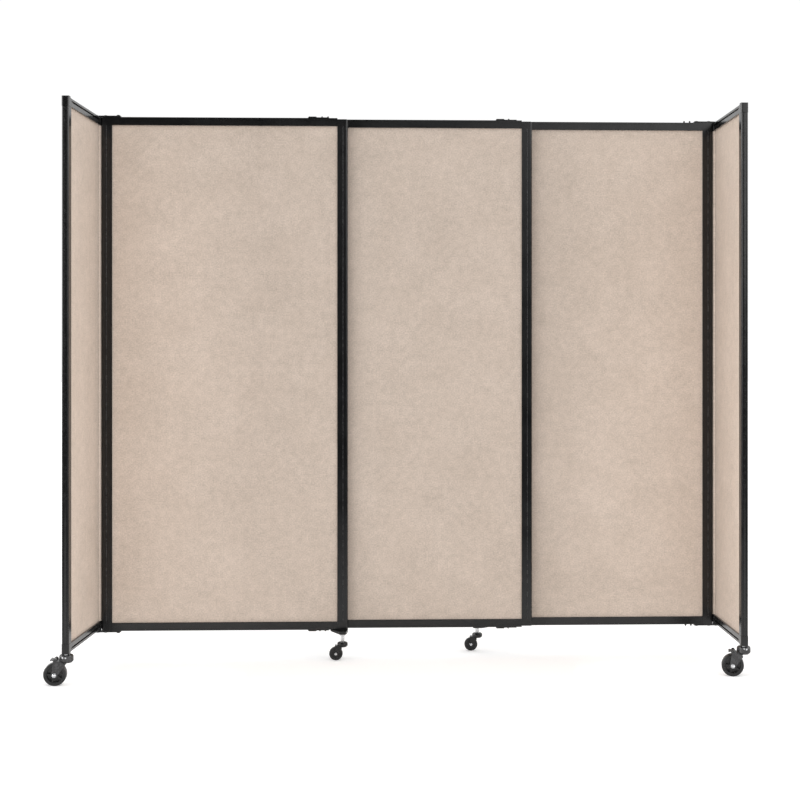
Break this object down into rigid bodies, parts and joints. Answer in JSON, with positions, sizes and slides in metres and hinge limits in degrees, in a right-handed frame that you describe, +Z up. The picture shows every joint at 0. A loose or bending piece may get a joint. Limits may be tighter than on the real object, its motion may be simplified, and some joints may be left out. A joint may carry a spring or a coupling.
{
  "type": "mobile sliding privacy screen",
  "caption": "Free-standing privacy partition: framed felt panels slide behind each other, hinged wings at both ends, swivel casters underneath.",
  "frame": {"origin": "on the floor, under the middle of the footprint at rest", "axes": "+X along the wall to the right as seen from the front, +Y to the back, +Z up; the wings point to -Y at rest"},
  "size_m": [2.523, 0.6918, 2.0791],
  "materials": {
    "frame": "satin black",
    "infill_fabric": "mottled felt",
    "black_steel": "satin black",
    "glide_nylon": "matt",
    "zinc": "bright zinc",
    "caster_plastic": "satin moulded",
    "wheel": "dark rubber"
  },
  "bodies": {
    "left_panel": {"left_panel_left_stile": "frame", "left_panel_right_stile": "frame", "left_panel_bottom_rail": "frame", "left_panel_top_rail": "frame", "left_panel_board": "infill_fabric", "left_panel_top_guide": "black_steel", "left_panel_bottom_guide": "black_steel", "left_hinge_top_strap": "black_steel", "left_hinge_top_pin": "zinc", "left_hinge_bottom_strap": "black_steel", "left_hinge_bottom_pin": "zinc", "left_panel_caster_bracket": "black_steel", "left_panel_caster_stem": "zinc"},
    "middle_panel": {"middle_panel_left_stile": "frame", "middle_panel_right_stile": "frame", "middle_panel_bottom_rail": "frame", "middle_panel_top_rail": "frame", "middle_panel_board": "infill_fabric", "middle_panel_top_guide": "black_steel", "middle_panel_bottom_guide": "black_steel", "middle_panel_top_glide": "glide_nylon", "middle_panel_bottom_glide": "glide_nylon"},
    "right_panel": {"right_panel_left_stile": "frame", "right_panel_right_stile": "frame", "right_panel_bottom_rail": "frame", "right_panel_top_rail": "frame", "right_panel_board": "infill_fabric", "right_panel_top_glide": "glide_nylon", "right_panel_bottom_glide": "glide_nylon", "right_hinge_top_strap": "black_steel", "right_hinge_top_pin": "zinc", "right_hinge_bottom_strap": "black_steel", "right_hinge_bottom_pin": "zinc", "right_panel_caster_bracket": "black_steel", "right_panel_caster_stem": "zinc"},
    "left_wing": {"left_wing_hinge_stile": "frame", "left_wing_end_stile": "frame", "left_wing_bottom_rail": "frame", "left_wing_top_rail": "frame", "left_wing_board": "infill_fabric", "left_wing_caster_stem": "zinc"},
    "right_wing": {"right_wing_hinge_stile": "frame", "right_wing_end_stile": "frame", "right_wing_bottom_rail": "frame", "right_wing_top_rail": "frame", "right_wing_board": "infill_fabric", "right_wing_caster_stem": "zinc"},
    "left_wing_caster_fork": {"left_wing_caster_fork": "caster_plastic", "left_wing_caster_axle": "zinc"},
    "left_wing_caster_wheel": {"left_wing_caster_wheel": "wheel"},
    "left_wing_caster_pedal": {"left_wing_caster_brake_pedal": "caster_plastic"},
    "right_wing_caster_fork": {"right_wing_caster_fork": "caster_plastic", "right_wing_caster_axle": "zinc"},
    "right_wing_caster_wheel": {"right_wing_caster_wheel": "wheel"},
    "right_wing_caster_pedal": {"right_wing_caster_brake_pedal": "caster_plastic"},
    "left_panel_caster_fork": {"left_panel_caster_fork": "caster_plastic"},
    "left_panel_caster_wheel": {"left_panel_caster_wheel": "wheel"},
    "right_panel_caster_fork": {"right_panel_caster_fork": "caster_plastic"},
    "right_panel_caster_wheel": {"right_panel_caster_wheel": "wheel"}
  },
  "joints": [
    {"name": "middle_panel_slide", "type": "slide", "parent": "left_panel", "child": "middle_panel", "axis": [1, 0, 0], "range_m": [-0.622, 0]},
    {"name": "right_panel_slide", "type": "slide", "parent": "middle_panel", "child": "right_panel", "axis": [1, 0, 0], "range_m": [-0.622, 0]},
    {"name": "left_wing_hinge", "type": "hinge", "parent": "left_panel", "child": "left_wing", "pos_m": [-1.15748, 0.19406, 1], "axis": [0, 0, 1], "range_deg": [-177.2, 2.8]},
    {"name": "right_wing_hinge", "type": "hinge", "parent": "right_panel", "child": "right_wing", "pos_m": [1.23653, 0.27006, 1], "axis": [0, 0, 1], "range_deg": [0, 180]},
    {"name": "left_wing_caster_swivel", "type": "hinge", "parent": "left_wing", "child": "left_wing_caster_fork", "pos_m": [-1.18185, -0.30435, 0.1095], "axis": [0, 0, 1], "continuous": true},
    {"name": "left_wing_caster_wheel_spin", "type": "hinge", "parent": "left_wing_caster_fork", "child": "left_wing_caster_wheel", "pos_m": [-1.2208, -0.30639, 0.04], "axis": [-0.0523, 0.9986, 0], "continuous": true},
    {"name": "left_wing_caster_brake", "type": "hinge", "parent": "left_wing_caster_fork", "child": "left_wing_caster_pedal", "pos_m": [-1.21905, -0.3063, 0.08997], "axis": [-0.0523, 0.9986, 0], "range_deg": [-30, 0]},
    {"name": "right_wing_caster_swivel", "type": "hinge", "parent": "right_wing", "child": "right_wing_caster_fork", "pos_m": [1.23653, -0.22894, 0.1095], "axis": [0, 0, 1], "continuous": true},
    {"name": "right_wing_caster_wheel_spin", "type": "hinge", "parent": "right_wing_caster_fork", "child": "right_wing_caster_wheel", "pos_m": [1.19812, -0.22217, 0.04], "axis": [0.1736, 0.9848, 0], "continuous": true},
    {"name": "right_wing_caster_brake", "type": "hinge", "parent": "right_wing_caster_fork", "child": "right_wing_caster_pedal", "pos_m": [1.19984, -0.22248, 0.08997], "axis": [0.1736, 0.9848, 0], "range_deg": [-30, 0]},
    {"name": "left_panel_caster_swivel", "type": "hinge", "parent": "left_panel", "child": "left_panel_caster_fork", "pos_m": [-0.22248, 0.13806, 0.07], "axis": [0, 0, 1], "continuous": true},
    {"name": "left_panel_caster_wheel_spin", "type": "hinge", "parent": "left_panel_caster_fork", "child": "left_panel_caster_wheel", "pos_m": [-0.24748, 0.13806, 0.0255], "axis": [0, 1, 0], "continuous": true},
    {"name": "right_panel_caster_swivel", "type": "hinge", "parent": "right_panel", "child": "right_panel_caster_fork", "pos_m": [0.30152, 0.32606, 0.07], "axis": [0, 0, 1], "continuous": true},
    {"name": "right_panel_caster_wheel_spin", "type": "hinge", "parent": "right_panel_caster_fork", "child": "right_panel_caster_wheel", "pos_m": [0.27653, 0.32606, 0.0255], "axis": [0, 1, 0], "continuous": true}
  ]
}
